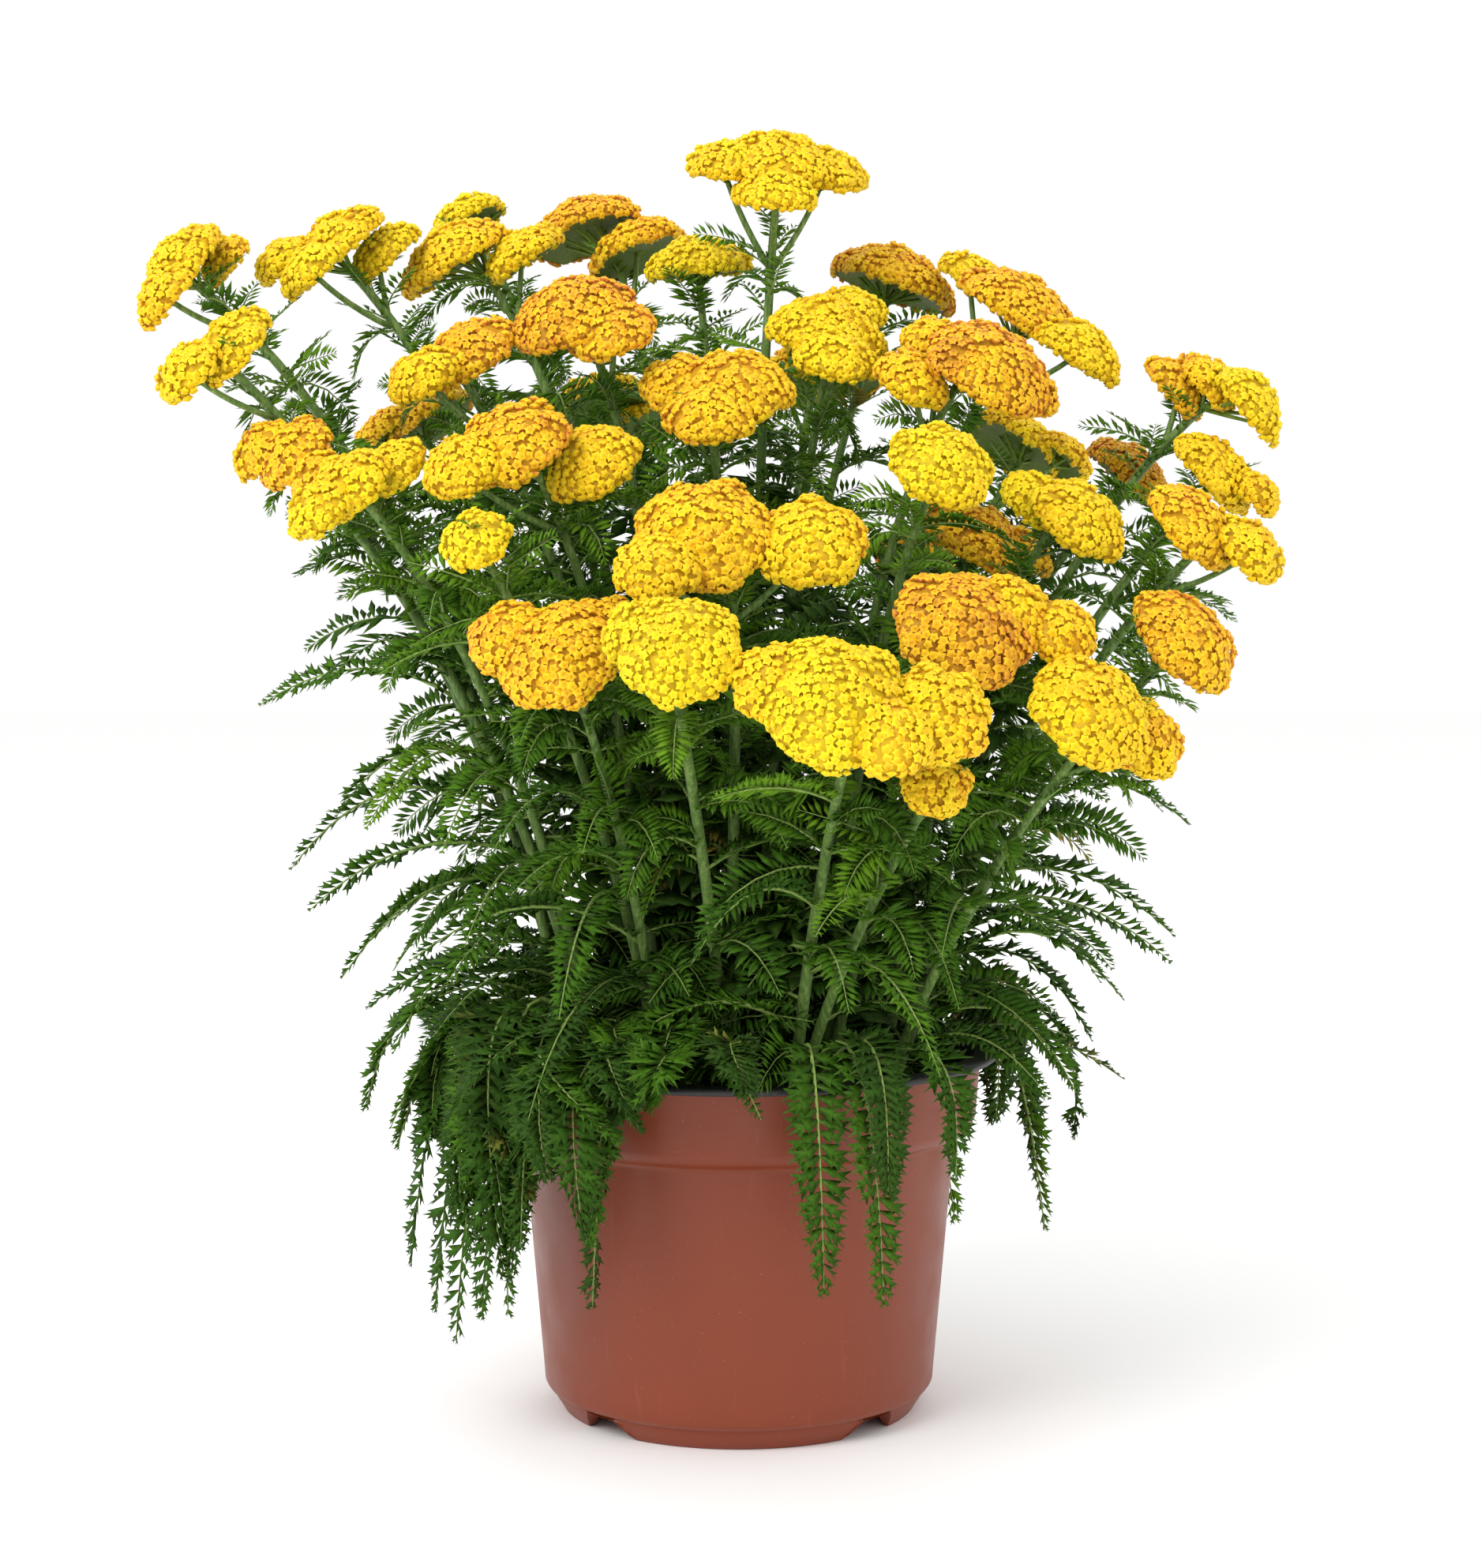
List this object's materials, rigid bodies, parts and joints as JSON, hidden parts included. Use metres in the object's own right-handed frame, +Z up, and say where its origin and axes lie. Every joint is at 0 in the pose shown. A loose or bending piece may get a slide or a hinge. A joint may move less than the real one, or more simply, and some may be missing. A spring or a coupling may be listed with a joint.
{
  "type": "potted yarrow plant",
  "caption": "Flowering yarrow in a two-tone nursery pot: feathery green leaves on upright stalks, topped by flat-domed heads of yellow to orange florets.",
  "frame": {"origin": "on the ground, under the middle of the whole plant's box; the pot's axis stands 9 mm to +X and 14 mm to -Y of it", "axes": "+Z up along the pot's axis, -Y towards the plant's front"},
  "size_m": [0.4958, 0.47, 0.5633],
  "materials": {
    "pot": "satin thermoformed terracotta-brown plastic, black inside and on its lip",
    "soil": "moist crumbly potting compost",
    "foliage": "matte, finely hairy green stems and leaves",
    "florets": "matte petals, lemon yellow when fresh, golden to salmon orange with age"
  },
  "bodies": {
    "root": {"pot": "pot", "soil": "soil", "stems_01": "foliage", "stems_02": "foliage", "stems_03": "foliage", "stems_04": "foliage", "stems_05": "foliage", "stems_06": "foliage", "stems_07": "foliage", "stems_08": "foliage", "stems_09": "foliage", "stems_10": "foliage", "stems_11": "foliage", "stems_12": "foliage", "stems_13": "foliage", "stems_14": "foliage", "stems_15": "foliage", "stems_16": "foliage", "stems_17": "foliage", "stems_18": "foliage", "head_01": "florets", "head_02": "florets", "head_03": "florets", "head_04": "florets", "head_05": "florets", "head_06": "florets", "head_07": "florets", "head_08": "florets", "head_09": "florets", "head_10": "florets", "head_11": "florets", "head_12": "florets", "head_13": "florets", "head_14": "florets", "head_15": "florets", "head_16": "florets", "head_17": "florets", "head_18": "florets", "head_19": "florets", "head_20": "florets", "head_21": "florets", "head_22": "florets", "head_23": "florets", "head_24": "florets", "head_25": "florets", "head_26": "florets", "head_27": "florets", "head_28": "florets", "head_29": "florets", "head_30": "florets", "head_31": "florets", "head_32": "florets", "head_33": "florets", "head_34": "florets", "head_35": "florets", "head_36": "florets", "head_37": "florets", "head_38": "florets", "head_39": "florets", "head_40": "florets"}
  },
  "joints": []
}
